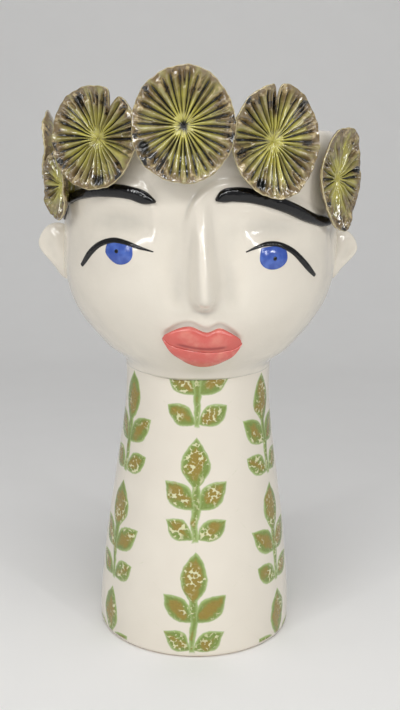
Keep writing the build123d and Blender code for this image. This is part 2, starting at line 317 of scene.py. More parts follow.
def head_reach(way, height):
    """The reach of the head at a height, run on in a straight line beyond the ends of its curve."""
    curve = wall_curves[way]
    stretch = CHIN_SPAN / (CHIN_SPAN - CHIN_RAISE[way])
    chin_top = JOINT + CHIN_SPAN
    height_on = np.where(height < chin_top, chin_top - (chin_top - height) * stretch, height)
    inside = np.clip(height_on, HEAD_LOW, HEAD_HIGH)
    slope = curve.deriv()(inside)
    reach = curve(inside) + slope * (height_on - inside)
    neck = neck_curve(np.minimum(height, NECK_HIGH))
    return (reach + neck + np.sqrt((reach - neck) ** 2 + FILLET**2)) / 2


def egg_point(turn, height):
    """A point of the smooth egg. Turn goes round from the middle of the face, positive to the right."""
    depth = np.where(np.cos(turn) > 0, head_reach("front", height), head_reach("back", height))
    side = head_reach("side", height)
    return np.stack([side * np.sin(turn), -depth * np.cos(turn), height], axis=-1)


def outward(surface, turn, height):
    """The outward normal of a surface that is given by turn and height."""
    around = surface(turn + TURN_STEP, height) - surface(turn - TURN_STEP, height)
    upward = surface(turn, height + HEIGHT_STEP) - surface(turn, height - HEIGHT_STEP)
    normal = np.cross(around, upward)
    return normal / np.linalg.norm(normal, axis=-1, keepdims=True)


print("egg at eye level reaches", egg_point(np.array(0.0), np.array(EYE_LEVEL)).round(1))

# %% [markdown]
# ## The relief of the face
# Everything that the potter's thumb did to the egg is one function of place: a slender nose, the bone above
# each eye, the hollow under it, the lid, and the swell round the mouth. Each is a mound or a soft step, so
# the sizes below can be changed one by one. Lines across the face are smooth curves through a few points.

# %% Draw the lines of the face
LEFT_CORNER, RIGHT_CORNER = (-19.4, 203.6), (23.6, 201.0)


def from_corner_to_corner(*points):
    """A line across the mouth: its left corner, the given points and its right corner."""
    return [LEFT_CORNER, *points, RIGHT_CORNER]


UPPER_LIP_LINE = from_corner_to_corner((-11, 209), (-5, 210.4), (5, 207.2), (12.5, 209.5), (18.5, 206))
LOWER_LIP_LINE = from_corner_to_corner((-15, 197.2), (-11, 192.4), (-6, 188.4), (4, 185.8), (14, 190))
MOUTH_LINE = from_corner_to_corner((-14, 200.6), (-6, 198.6), (4, 197.4), (13, 197.9), (19, 199.2))
RIGHT_BONE = [(-8, 270), (-4, 279), (5, 288), (16, 291), (34, 287), (56, 279), (76, 268)]
LEFT_BONE = [(-78, 276), (-64, 285), (-50, 289.5), (-38, 290), (-29, 287), (-23, 279)]


def through(points, across):
    """Heights of a smooth line through a few (across, height) points, in order from left to right."""
    across_at, height_at = np.array(points, dtype=float).T
    slope = np.gradient(height_at, across_at)
    span = np.clip(np.searchsorted(across_at, across) - 1, 0, len(across_at) - 2)
    width = across_at[span + 1] - across_at[span]
    share = np.clip((across - across_at[span]) / width, 0, 1)
    before = height_at[span] * (1 + 2 * share) + slope[span] * width * share
    after = height_at[span + 1] * (3 - 2 * share) - slope[span + 1] * width * (1 - share)
    return before * (1 - share) ** 2 + after * share**2


print("the mouth is", round(RIGHT_CORNER[0] - LEFT_CORNER[0], 1), "mm wide")

# %% Model the nose
NOSE_TIP_HEIGHT, NOSE_BOTTOM, NOSE_ROOT = 229.0, 218.0, 292.0
NOSE_TIP_ACROSS, NOSE_ROOT_ACROSS = 2.9, -0.5
NOSE_REACH, NOSE_BALL, NOSE_HOLLOW = 12.5, 1.3, 2.8
NOSE_HALF_WIDTH, NOSE_NARROWING, NOSE_SQUARENESS = 5.8, 1.3, 2.5
NOSE_FLANK, FLANK_SHARE = 13.0, 0.2
BALL_RISE, BALL_HALF_WIDTH, BALL_HALF_HEIGHT = 3, 4.5, 6
HOLLOW_MIDDLE, HOLLOW_HALF_WIDTH = 14.5, 7.0


def nose_relief(across, height):
    """A straight slender nose with a round tip, which runs out on the forehead."""
    share = np.clip((height - NOSE_TIP_HEIGHT) / (NOSE_ROOT - NOSE_TIP_HEIGHT), -0.3, 1)
    off = across - NOSE_TIP_ACROSS - (NOSE_ROOT_ACROSS - NOSE_TIP_ACROSS) * share
    under = np.clip((NOSE_TIP_HEIGHT - height) / (NOSE_TIP_HEIGHT - NOSE_BOTTOM), 0, 1)
    bulb = 1 - under**2 * (2 - under**2)
    rise = bulb * (1 - soft_step(0.05, 1.05, share))
    half_width = (NOSE_HALF_WIDTH - NOSE_NARROWING * soft_step(0, 0.5, share)) * (0.6 + 0.4 * bulb)
    column = np.exp(-(np.abs(off / half_width) ** NOSE_SQUARENESS))
    flank = np.exp(-((off / NOSE_FLANK) ** 2))
    above = height - NOSE_TIP_HEIGHT - BALL_RISE
    ball = NOSE_BALL * mound(off / BALL_HALF_WIDTH, above / BALL_HALF_HEIGHT)
    hollow = NOSE_HOLLOW * rise * mound((np.abs(off) - HOLLOW_MIDDLE) / HOLLOW_HALF_WIDTH, 0)
    return NOSE_REACH * rise * ((1 - FLANK_SHARE) * column + FLANK_SHARE * flank) + ball - hollow


nose_slant = math.atan2(NOSE_TIP_ACROSS - NOSE_ROOT_ACROSS, NOSE_ROOT - NOSE_TIP_HEIGHT)
print("the nose leans by", round(math.degrees(nose_slant), 1), "degrees")


# %% Model the rest of the relief
class Mound(NamedTuple):
    """A mound or a hollow in the face: its lift, the place of its middle and its two half widths."""

    lift: float
    across: float
    height: float
    half_width: float
    half_height: float


MOUNDS = {
    "swell under the lips": Mound(2.0, 2.2, 198.0, 27.0, 17.0),
    "groove under the nose": Mound(-0.5, 4.0, 215.0, 3.0, 3.5),
    "dip over the chin": Mound(-1.0, 3.0, 178.5, 15.0, 4.0),
    "hollow over the left eye": Mound(-3.6, -46.0, 267.0, 22.0, 7.5),
    "left lid": Mound(2.0, -46.0, 250.0, 19.0, 8.5),
    "hollow over the right eye": Mound(-3.6, 44.0, 266.0, 22.0, 7.5),
    "right lid": Mound(2.0, 44.0, 249.0, 19.0, 8.5),
}
RIGHT_BONE_STEP, LEFT_BONE_STEP, BONE_FADE = 2.3, 2.0, 15.0
LIP_GROOVE = 0.9


def bone(points, across, height, step):
    """A shoulder of bone below a line: it steps out at the line and runs out downwards."""
    first, last = points[0][0], points[-1][0]
    below = through(points, across) - height
    ends = soft_band((first - 2, first + 4), (last - 4, last + 2), across)
    fade = np.exp(-((np.maximum(below, 0) / BONE_FADE) ** 2))
    return step * ends * soft_step(-3.0, 3.2, below) * fade


def lip_groove(across, height):
    """1 in the flat groove that a tool has drawn along the upper edge of the lips, 0 beside it."""
    above = height - through(UPPER_LIP_LINE, across)
    return soft_band((-22, -17), (21, 26), across) * soft_band((-1.5, 0.5), (2.2, 4.2), above)


def face_relief(across, height):
    """Everything that the thumb did to the face, as a height above the egg."""
    relief = nose_relief(across, height) - LIP_GROOVE * lip_groove(across, height)
    for part in MOUNDS.values():
        off = (across - part.across) / part.half_width
        relief = relief + part.lift * mound(off, (height - part.height) / part.half_height)
    relief = relief + bone(RIGHT_BONE, across, height, RIGHT_BONE_STEP)
    return relief + bone(LEFT_BONE, across, height, LEFT_BONE_STEP)


print("mounds and hollows of the face:", list(MOUNDS))

# %% Lay the relief on the egg
HEAD_SWELLS = [(0.6, 34.0, 3.0), (0.35, 13.0, 11.0)]


def clay_swell(points, size, seed):
    """Slow unevenness of hand-built clay, from -1 to 1, at points in millimetres."""
    flat = points.reshape(-1, 3) / size + seed
    return np.array([noise.noise(Vector(point)) for point in flat]).reshape(points.shape[:-1])


def clay_swells(points, swells):
    """The sum of a few swells, each given by its depth, size and seed."""
    return sum(depth * clay_swell(points, size, seed) for depth, size, seed in swells)


def skin_point(turn, height):
    """A point of the modelled head: the egg, the relief of the face and the unevenness of the clay."""
    egg = egg_point(turn, height)
    facing = soft_step(0.0, 0.3, np.cos(turn)) * (1 - soft_step(RIM - 22, RIM - 6, height))
    lift = facing * face_relief(egg[..., 0], height) + clay_swells(egg, HEAD_SWELLS)
    return egg + outward(egg_point, turn, height) * lift[..., None]


def face_place(across, height):
    """The turn at which the egg has the given distance across, for a place on the face."""
    return np.arcsin(np.clip(across / head_reach("side", height), -0.999, 0.999))


tip_turn = face_place(np.array(NOSE_TIP_ACROSS), np.array(NOSE_TIP_HEIGHT))
print("nose tip at", skin_point(tip_turn, np.array(NOSE_TIP_HEIGHT)).round(1))

# %% [markdown]
# ## From a bmesh to a piece
# Every piece is made the same way at the end: normals are turned outwards, faces shaded smooth, and the
# mesh becomes an object that rides on the vase and takes the place of its plain CAD solid. Round pieces
# start as a line that is spun round the axis. One sector is spun and then copied, which is quicker.


# %% Define how a piece is finished
def raw_coordinates(mesh):
    """The places of all vertices as an array, in the mesh's own units."""
    return np.array([vert.co for vert in mesh.verts])


def coordinates(mesh):
    """The places of all vertices as an array, in millimetres."""
    return raw_coordinates(mesh) / MM


def place_vertices(mesh, points):
    """Moves all vertices to places given in millimetres."""
    for vert, point in zip(mesh.verts, points):
        vert.co = Vector(point) * MM


def store(mesh, name, values):
    """Keeps a value on every vertex under a name that a shader can read."""
    layer = mesh.verts.layers.float.get(name) or mesh.verts.layers.float.new(name)
    for vert, value in zip(mesh.verts, values):
        vert[layer] = float(value)


def finished_piece(name, mesh, material, *replaced):
    """Makes a smooth object from a bmesh. It rides on the vase and replaces the named CAD nodes."""
    bmesh.ops.recalc_face_normals(mesh, faces=mesh.faces[:])
    for face in mesh.faces:
        face.smooth = True
    data = bpy.data.meshes.new(name)
    mesh.to_mesh(data)
    mesh.free()
    data.materials.append(material)
    piece = bpy.data.objects.new(name, data)
    bpy.context.scene.collection.objects.link(piece)
    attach(piece, BODY)
    if replaced:
        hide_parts(*replaced)
    print(name, len(data.polygons), "faces")


# %% Define how a line is spun
SECTORS = 8
SAME_PLACE = 0.001


def turned(outline, steps, closed):
    """A line of (radius, height) points turned round the axis: a sector is spun, then copied round."""
    mesh = bmesh.new()
    verts = [mesh.verts.new((radius * MM, 0, height * MM)) for radius, height in outline]
    ends = verts[1:] + verts[:1] if closed else verts[1:]
    edges = [mesh.edges.new(pair) for pair in zip(verts, ends)]
    angle = math.tau / SECTORS
    bmesh.ops.spin(mesh, geom=verts + edges, axis=(0, 0, 1), angle=angle, steps=steps // SECTORS)
    sector = mesh.verts[:] + mesh.edges[:] + mesh.faces[:]
    for step in range(1, SECTORS):
        copied = bmesh.ops.duplicate(mesh, geom=sector)["geom"]
        corners = [item for item in copied if isinstance(item, bmesh.types.BMVert)]
        bmesh.ops.rotate(mesh, verts=corners, matrix=Matrix.Rotation(angle * step, 3, "Z"))
    bmesh.ops.remove_doubles(mesh, verts=mesh.verts[:], dist=SAME_PLACE * MM)
    return mesh


# %% [markdown]
# ## Head
# The head is spun as a plain drum first: one ring of vertices for each height, and a radius that stands for
# the depth in the wall. A formula then sends each vertex to its place on the modelled skin. The columns of
# vertices stand closer together on the face than at the back, because a nose needs more faces than a bald
# crown. The inside of the wall follows the plain egg, because a thumb in front doesn't show behind.

# %% Spin the drum
HEAD_STEPS = 440
DRUM = 100.0
WALL = 7.0
HALF_WALL = WALL / 2
RIM_POINTS = 11
RING_GAP, INNER_RING_GAP = 1.0, 4.0
SEAT_TOP, SEAT_BEND = JOINT + 5.2, JOINT + 3

outline = [(DRUM, height) for height in np.arange(SEAM, RIM - HALF_WALL, RING_GAP)]
for angle in np.linspace(0, math.pi, RIM_POINTS):
    depth = HALF_WALL * (1 - math.cos(angle))
    outline.append((DRUM - depth, RIM - HALF_WALL + HALF_WALL * math.sin(angle)))
inner_top = RIM - HALF_WALL - INNER_RING_GAP
outline += [(DRUM - WALL, height) for height in np.arange(inner_top, JOINT + 6, -INNER_RING_GAP)]
outline += [(DRUM - WALL, SEAT_TOP), (DRUM - HALF_WALL, SEAT_BEND), (DRUM - HALF_WALL, SEAM)]
head_mesh = turned(outline, HEAD_STEPS, closed=True)
print("the drum has", len(outline), "rings")

# %% Model the head
FACE_CROWDING = 0.35
SEAM_TUCK = 2.0
drum = coordinates(head_mesh)
height = drum[:, 2]
turn = np.arctan2(drum[:, 0], -drum[:, 1])
turn = turn - FACE_CROWDING * np.sin(turn)
depth = DRUM - np.hypot(drum[:, 0], drum[:, 1])
depth = depth + SEAM_TUCK * (1 - soft_step(SEAM, SEAM + 3, height))
skin = skin_point(turn, height)
plain = egg_point(turn, height)
outwards = outward(egg_point, turn, height)
hold = soft_step(2.0, 6.0, depth)[:, None]
points = skin * (1 - hold) + plain * hold - outwards * depth[:, None]
place_vertices(head_mesh, points)
print("the head is", round(float(np.ptp(points[:, 0])), 1), "mm wide")

# %% [markdown]
# Hollows get painted shade, a grey in the glaze's colour. To find them, a copy of the mesh is smoothed:
# where smoothing has filled it in, there was a hollow. The groove over the lips and the wide hollows of the
# relief are added.

# %% Find the hollows that get painted shade
SMOOTHINGS = 14
FULL_FILL, FULL_SUNK = 1.1, 8.0
MOST_DRAWN, MOST_SUNK = 0.5, 0.35
head_mesh.normal_update()
normals = np.array([vert.normal for vert in head_mesh.verts])
outer_side = np.sign((normals * outwards).sum(axis=1)[0])
smoothed = head_mesh.copy()
for _ in range(SMOOTHINGS):
    bmesh.ops.smooth_vert(
        smoothed, verts=smoothed.verts[:], factor=0.5, use_axis_x=True, use_axis_y=True, use_axis_z=True
    )
filled = ((coordinates(smoothed) - points) * normals).sum(axis=1) * outer_side
smoothed.free()
on_face = (np.cos(turn) > 0) & (depth < 1)
drawn = MOST_DRAWN * lip_groove(plain[:, 0], height)
sunk = np.clip(-face_relief(plain[:, 0], height) / FULL_SUNK, 0, MOST_SUNK)
# Painted shade: how grey each vertex of the head is painted, from its hollows, the lip groove and the
# relief.
pool = np.maximum(filled / FULL_FILL, np.where(on_face, np.maximum(drawn, sunk), 0))
store(head_mesh, "pool", np.clip(pool, 0, 1))
finished_piece("glazed_head", head_mesh, white_glaze, "face_shell", "back_shell", "nose")

# %% [markdown]
# ## Neck paint
# The neck is painted in watery greens: a plain sprig of leaves, repeated in columns round it. The shader
# unrolls the neck: the angle round the axis gives the column, and the distance from the column's middle and
# the height give a flat place on which each leaf is one formula. The neck's mesh carries a value named
# `outside`, because the inside of the wall stays plain white. Green glaze is thin and pale at the edge of a
# stroke, pools to mustard along its middle, and is cratered where bubbles have burst. Pale flecks at the
# craters are painted glints.

# %% Unroll the neck
COLUMNS = 6
ROW_HEIGHT = 70.0
WANDER, WANDER_SIZE = 6, 18


def unrolled_neck(place):
    """The height of a place on the neck, and where it lies across and up in its own sprig, in mm."""
    axes = [place.node("ShaderNodeSeparateXYZ", {}, {"Vector": place}, axis) for axis in "XYZ"]
    across_axis, deep_axis, height = (axis / MM for axis in axes)
    angle = across_axis.math("ARCTAN2", across_axis, 0 - deep_axis)
    radius = across_axis.math("SQRT", across_axis * across_axis + deep_axis * deep_axis)
    column = angle * (COLUMNS / math.tau)
    nearest = column.math("ROUND", column)
    across = (column - nearest) * radius * (math.tau / COLUMNS)
    odd = abs(nearest.math("MODULO", nearest, 2.0))
    rows = height / ROW_HEIGHT + odd * 0.5
    up = (rows - rows.math("FLOOR", rows) - 0.5) * ROW_HEIGHT
    wander = (cloud(place, WANDER_SIZE) - 0.5) * WANDER
    return height, across + wander, up


print("the sprigs stand in", COLUMNS, "columns, one every", ROW_HEIGHT, "mm")

# %% Draw the sprig
STEM_HALF_WIDTH, STEM_WIDEST, STEM_TAPER = 3.2, -4, 0.05
STEM_HALF_LENGTH, STEM_MIDDLE, STEM_END = 24, -8, 0.6
TOP_LEAF = ((0, -1), 34.0, 9.2, 0)
MIDDLE_LEAF = ((0.5, -12), 26.0, 7.8, math.radians(48))
LOW_LEAF = ((0.5, -30), 22.0, 7.0, math.radians(58))


def leaf(across, up, start, length, half_width, lean):
    """How far inside a leaf a place lies, in mm. The leaf grows from a start at a lean from upright."""
    run = across - start[0]
    climb = up - start[1]
    along = run * math.sin(lean) + climb * math.cos(lean)
    off = run * math.cos(lean) - climb * math.sin(lean)
    share = along.node("ShaderNodeClamp", {}, {"Value": along / length})
    return half_width * (share * math.pi).math("SINE", share * math.pi) - abs(off)


def sprig(across, up):
    """How far inside the sprig a place lies, in mm: its stem, the leaf on top and two pairs of leaves."""
    mirrored = abs(across)
    stem = STEM_HALF_WIDTH - mirrored - abs(up - STEM_WIDEST) * STEM_TAPER
    stem = stem.math("MINIMUM", stem, (STEM_HALF_LENGTH - abs(up - STEM_MIDDLE)) * STEM_END)
    inside = stem.math("MAXIMUM", stem, leaf(across, up, *TOP_LEAF))
    for pair in (MIDDLE_LEAF, LOW_LEAF):
        inside = inside.math("MAXIMUM", inside, leaf(mirrored, up, *pair))
    return inside


print("the leaf on top of a sprig is", TOP_LEAF[1], "mm long")

# %% Mix the neck's glaze
GREEN_EDGE = tone(158, 178, 112)
GREEN_BODY = tone(122, 142, 66)
GREEN_POOLED = tone(146, 126, 50)
# Painted glint: pale flecks at the craters where the green lies thick.
PAINTED_GLINT = tone(214, 212, 170)
CLAY = tone(202, 182, 156)
CRATER_SIZE = 1.9


def paint_neck(place):
    """White glaze with painted sprigs, bumpy where the green lies thick, and bare clay at the foot."""
    height, across, up = unrolled_neck(place)
    fine = cloud(place, 2.6, 3.0)
    inside = sprig(across, up) + (fine - 0.5) * 1.1
    painted = ease(inside, -0.2, 0.9) * attribute(place, "outside")
    patches = cloud(place, 9, 3.0)
    thick = ease(inside + (patches - 0.5) * 14, 2.2, 6.0)
    swell = cloud(place, WHITE_SWELL)
    white = blend(swell, WHITE_BODY, WHITE_THIN)
    green = blend(ease(inside, 0.6, 2.6), GREEN_EDGE, GREEN_BODY)
    green = blend(thick, green, GREEN_POOLED)
    craters = place.node("ShaderNodeTexVoronoi", {}, {"Vector": place, "Scale": 1 / (CRATER_SIZE * MM)})
    # Painted glints: pale flecks at the craters' rims, in patches, on the thick green.
    glint_flecks = ease(craters + (fine - 0.5) * 0.6, 0.6, 0.74) * ease(cloud(place, 15), 0.42, 0.58)
    green = blend(glint_flecks * ease(inside, 0.8, 2.0), green, PAINTED_GLINT)
    glazed = ease(height + (fine - 0.5) * 1.5, 0.5, 1.4)
    colour = blend(glazed, CLAY, blend(painted, white, green))
    rough_height = painted * ease(inside, 0.4, 2.4) * (craters * 0.8 + fine * 0.7)
    return {
        "Base Color": colour,
        "Roughness": 0.62 - 0.46 * glazed + 0.1 * fine,
        "Coat Weight": WHITE_COAT * glazed,
        "Coat Roughness": WHITE_COAT_ROUGHNESS,
        "Normal": bumps(rough_height + swell * 0.6, 0.85, 0.7),
    }


neck_glaze = finish("neck_glaze", paint_neck)

# %% [markdown]
# ## Neck and floor
# The neck is a bell that was coiled and scraped by hand, so its outside wanders by half a millimetre. Its
# wall is one closed outline, spun round: up the outside, over the spigot that the head sits on, down the
# inside to the floor and out under the foot. The floor slab keeps its CAD solid, with clay as its finish.

# %% Draw the neck's outline
FOOT_ROUND, FOOT_POINTS = 3.0, 7
SPIGOT_WALL, SPIGOT_EDGE = 3.3, 0.4
floor_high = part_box("floor_slab")[1]
FLOOR_TOP = floor_high.z / MM
FLOOR_SEAT = floor_high.x / MM + 0.2
SPIGOT_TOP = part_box("neck_wall")[1].z / MM
SPIGOT_SHOULDER = SPIGOT_TOP - 0.5


def neck_points(inset, heights):
    """Points of the neck's outline at some heights, inset from its outside."""
    return [(float(neck_curve(height)) - inset, height) for height in heights]


outline = []
for angle in np.linspace(-math.pi / 2, 0, FOOT_POINTS):
    reach = float(neck_curve(FOOT_ROUND)) - FOOT_ROUND + FOOT_ROUND * math.cos(angle)
    outline.append((reach, FOOT_ROUND + FOOT_ROUND * math.sin(angle)))
outline += neck_points(0, np.arange(FOOT_ROUND + 2, JOINT, 2.0))
throat = float(neck_curve(JOINT)) - WALL
outline += [(throat + WALL, height) for height in np.arange(JOINT + 1, SPIGOT_SHOULDER)]
outline += [(throat + SPIGOT_WALL, SPIGOT_TOP - SPIGOT_EDGE)]
outline += [(throat + inset, SPIGOT_TOP) for inset in (SPIGOT_WALL - SPIGOT_EDGE, SPIGOT_EDGE)]
outline += [(throat, SPIGOT_SHOULDER)]
outline += neck_points(WALL, [*np.arange(JOINT - 2, FLOOR_TOP, -4.0), FLOOR_TOP])
outline += [(FLOOR_SEAT, FLOOR_TOP), (FLOOR_SEAT, 0)]
print("the neck's outline has", len(outline), "points")

# %% Model the neck
NECK_STEPS = 304
NECK_SWELLS = [(0.55, 30.0, 5.0), (0.2, 10.0, 7.0)]
FOOT_EVEN_TO, OUTER_DEPTH = 14, 1.5
neck_mesh = turned(outline, NECK_STEPS, closed=True)
points = coordinates(neck_mesh)
height = points[:, 2]
radius = np.hypot(points[:, 0], points[:, 1])
outside = (radius > neck_curve(height) - OUTER_DEPTH) & (height > FOOT_ROUND)
uneven = clay_swells(points, NECK_SWELLS) * soft_step(FOOT_ROUND, FOOT_EVEN_TO, height)
points[:, :2] *= (1 + np.where(outside, uneven / radius, 0))[:, None]
place_vertices(neck_mesh, points)
store(neck_mesh, "outside", outside)
finished_piece("glazed_neck", neck_mesh, neck_glaze, "neck_wall")


# %% Finish the floor
def paint_floor(place):
    """White glaze on top, where the vase holds water, and bare sandy clay below."""
    height = place.node("ShaderNodeSeparateXYZ", {}, {"Vector": place}, "Z") / MM
    grain = cloud(place, 1.2, 4.0)
    top = ease(height, FLOOR_TOP - 1.5, FLOOR_TOP - 0.5)
    clay = blend(grain, tone(178, 152, 124), CLAY)
    return {
        "Base Color": blend(top, clay, WHITE_BODY),
        "Roughness": 0.85 - 0.65 * top,
        "Normal": bumps(grain, 0.25, 0.5),
    }


floor_clay = finish("floor_clay", paint_floor)
floor_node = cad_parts["floor_slab"]
floor_node.data.materials.clear()
floor_node.data.materials.append(floor_clay)
print("floor slab", round(FLOOR_TOP, 1), "mm thick")

# %% [markdown]
# ## Slabs laid on the face
# Brows and lips are thin slabs of clay, lash lines and irises thick strokes of glaze. Each starts as a flat
# grid that is extruded into a closed slab, so it has a top, an underside and edges. A formula then lays it
# on the skin: the underside goes a little into the head and the top is lifted along the skin's own normal.
# Where a slab runs out to a point, the vertices that have met become one.

# %% Define how a slab is laid
SINK = 0.8
MEETING = 0.05
STROKE_FOOT, STROKE_ROUNDNESS, FULL_HALF_WIDTH = 0.15, 2.2, 1.5
SLOPE_STEP = 0.2


def laid_slab(columns, rows, place):
    """A closed slab on the face. place turns u and v, from -1 to 1, into across, height and lift in mm."""
    mesh = bmesh.new()
    bmesh.ops.create_grid(mesh, x_segments=columns, y_segments=rows, size=1.0)
    under = mesh.faces[:]
    extruded = bmesh.ops.extrude_face_region(mesh, geom=under, use_keep_orig=True)
    raised = {item for item in extruded["geom"] if isinstance(item, bmesh.types.BMVert)}
    on_top = np.array([vert in raised for vert in mesh.verts])
    flat = raw_coordinates(mesh)
    across, height, lift = place(flat[:, 0], flat[:, 1])
    turn = face_place(across, height)
    lift = np.where(on_top, lift, -SINK)
    points = skin_point(turn, height) + outward(skin_point, turn, height) * lift[:, None]
    place_vertices(mesh, points)
    bmesh.ops.remove_doubles(mesh, verts=mesh.verts[:], dist=MEETING * MM)
    return mesh


def spread(line, u):
    """Places across, from the first point of a line to its last, crowded towards both ends."""
    first, last = line[0][0], line[-1][0]
    return first + (last - first) * (0.5 + 0.5 * np.sin(u * math.pi / 2))


def stroke(line, half_widths, crown):
    """A stroke along a line across the face: its half width changes and its top is rounded."""

    def place(u, v):
        across = spread(line, u)
        height = through(line, across)
        rise = through(line, across + SLOPE_STEP) - through(line, across - SLOPE_STEP)
        slope = rise / (2 * SLOPE_STEP)
        length = np.hypot(1, slope)
        half = through(half_widths, across)
        dome = np.clip(1 - np.abs(v) ** STROKE_ROUNDNESS, 0, 1) ** 0.6
        lift = STROKE_FOOT + crown * dome * np.clip(half / FULL_HALF_WIDTH, 0, 1)
        return across - v * half * slope / length, height + v * half / length, lift

    return place


print("slabs go", SINK, "mm into the head")

# %% [markdown]
# ## Brows and lash lines
# The brows are raised rolls under a thick black glaze that shows broken, wandering highlights. The lash
# lines are brush strokes of the same glaze: round where the brush was set down, drawn out where it left.

# %% Mix the black glaze
BLACK = tone(9, 9, 11)
BLACK_THIN = tone(24, 23, 24)


def paint_black(place):
    """A glossy black that is a little brown where it runs thin, with swells that break its highlights."""
    swell = cloud(place, 4.5)
    fine = cloud(place, 1.4)
    return {
        "Base Color": blend(ease(swell, 0.55, 0.8), BLACK, BLACK_THIN),
        "Roughness": 0.05 + 0.06 * fine,
        "Specular IOR Level": 0.5,
        "Normal": bumps(swell + fine * 0.2, 0.7, 0.6),
    }


black_glaze = finish("black_glaze", paint_black)

# %% Lay the brows
BROW_CROWN, BROW_GRID = 2.2, (80, 16)
LEFT_BROW = [(-82, 264.5), (-79, 272), (-72.5, 278.5), (-63, 282.5), (-51, 284.3), (-38, 283.6), (-24, 279)]
RIGHT_BROW = [(8, 280.8), (14, 283.4), (21, 283.8), (34, 281.5), (49, 276.3), (64, 269.5), (75, 266.4)]
LEFT_BROW_HALF = [(-82, 0.5), (-76, 2.0), (-63, 3.2), (-50, 3.7), (-38, 3.7), (-28, 3.0), (-24, 0.6)]
RIGHT_BROW_HALF = [(8, 0.6), (11, 3.0), (18, 4.0), (30, 3.8), (49, 3.4), (64, 2.9), (73, 2.4), (75, 1.2)]
BROWS = {"left": (LEFT_BROW, LEFT_BROW_HALF), "right": (RIGHT_BROW, RIGHT_BROW_HALF)}
for side, lines in BROWS.items():
    brow_mesh = laid_slab(*BROW_GRID, stroke(*lines, BROW_CROWN))
    finished_piece(f"raised_{side}_brow", brow_mesh, black_glaze, f"{side}_brow")

# %% Draw the lash lines
LASH_CROWN, LASH_GRID = 0.8, (70, 10)
LEFT_LASH = [(-68, 240.5), (-62.5, 247.5), (-55.5, 254), (-48.5, 256.8), (-40, 256), (-33, 254), (-25, 252)]
RIGHT_LASH = [(25.5, 252.6), (31, 255), (37.5, 256.8), (44, 256.2), (51, 252.5), (58.5, 245.5), (66.5, 237)]
LEFT_LASH_HALF = [(-68, 1.0), (-64, 1.5), (-55, 1.6), (-45, 1.5), (-34, 1.0), (-25, 0.3)]
RIGHT_LASH_HALF = [(25.5, 0.3), (33, 1.0), (44, 1.5), (55, 1.6), (63, 1.5), (66.5, 1.0)]
LASHES = {"left": (LEFT_LASH, LEFT_LASH_HALF), "right": (RIGHT_LASH, RIGHT_LASH_HALF)}
for side, lines in LASHES.items():
    lash_mesh = laid_slab(*LASH_GRID, stroke(*lines, LASH_CROWN))
    finished_piece(f"{side}_lash_line", lash_mesh, black_glaze)

# %% [markdown]
# ## Irises and pupils
# Each iris is a drop of blue glaze under the lash line, with a small black pupil dotted on top. A square
# grid is pressed into a round one by a simple mapping, and the lash line trims the drop's top.

# %% Mix the blue glaze
BLUE = tone(52, 80, 162)
BLUE_THIN = tone(78, 108, 186)


def paint_blue(place):
    """A clear blue with brush swells, paler where it is thin."""
    swell = cloud(place, 5.0)
    return {
        "Base Color": blend(ease(swell, 0.35, 0.75), BLUE, BLUE_THIN),
        "Roughness": 0.12 + 0.08 * swell,
        "Coat Weight": 0.3,
        "Coat Roughness": 0.05,
        "Normal": bumps(swell, 0.5, 0.5),
    }


blue_glaze = finish("blue_glaze", paint_blue)

# %% Lay the irises and pupils
DROP_FOOT, LASH_CLEARANCE = 0.12, 0.4
IRIS_LIFT, IRIS_GRID = 0.4, (26, 26)
LEFT_IRIS, RIGHT_IRIS = ((-43.8, 250.4), 7.6, 6.6, 0.35), ((40.4, 249.0), 7.6, 6.4, 0.0)
PUPIL_LIFT, PUPIL_GRID = 0.75, (10, 10)
LEFT_PUPIL, RIGHT_PUPIL = ((-44.8, 251.2), 1.15, 1.25, 0.0), ((40.8, 248.8), 1.15, 1.25, 0.0)


def drop(lash, lift, middle, half_width, half_height, drawn_in):
    """A drop of glaze that hangs from a lash line: round below, drawn in on one side, trimmed above."""

    def place(u, v):
        fullness = np.where(v < 0, 2.0, 4.0)
        right = u * np.sqrt(1 - v**2 / fullness)
        above = v * np.sqrt(1 - u**2 / fullness)
        right = right * (1 - drawn_in * np.clip(-above, 0, 1) * (right < 0))
        across = middle[0] + half_width * right
        height = np.minimum(middle[1] + half_height * above, through(lash, across) - LASH_CLEARANCE)
        edge = np.clip(1 - np.hypot(right, above) ** 4, 0, 1) ** 0.5
        return across, height, DROP_FOOT + lift * edge

    return place


for side, lash, sizes in (("left", LEFT_LASH, LEFT_IRIS), ("right", RIGHT_LASH, RIGHT_IRIS)):
    iris_mesh = laid_slab(*IRIS_GRID, drop(lash, IRIS_LIFT, *sizes))
    finished_piece(f"{side}_iris", iris_mesh, blue_glaze)
for side, lash, sizes in (("left", LEFT_LASH, LEFT_PUPIL), ("right", RIGHT_LASH, RIGHT_PUPIL)):
    pupil_mesh = laid_slab(*PUPIL_GRID, drop(lash, PUPIL_LIFT, *sizes))
    finished_piece(f"{side}_pupil", pupil_mesh, black_glaze)

# %% [markdown]
# ## Lips
# The lips are two slabs of clay with a coral glaze. They meet in a soft groove at the mouth line. The glaze
# is brushed on in one coat. It is a little orange where it is thin and darker red along the groove, for
# which the mesh carries a value named `groove`.

# %% Mix the coral glaze
CORAL = tone(208, 98, 89)
CORAL_THIN = tone(217, 126, 112)
CORAL_DEEP = tone(158, 56, 54)


def paint_coral(place):
    """Coral, thinner on the crowns and darker red along the mouth line."""
    groove = attribute(place, "groove")
    swell = cloud(place, 7.0, 3.0)
    colour = blend(ease(swell, 0.4, 0.75), CORAL, CORAL_THIN)
    return {
        "Base Color": blend(groove, colour, CORAL_DEEP),
        "Roughness": 0.16 + 0.12 * swell,
        "Coat Weight": 0.3,
        "Coat Roughness": 0.06,
        "Normal": bumps(swell, 0.6, 0.5),
    }


coral_glaze = finish("coral_glaze", paint_coral)

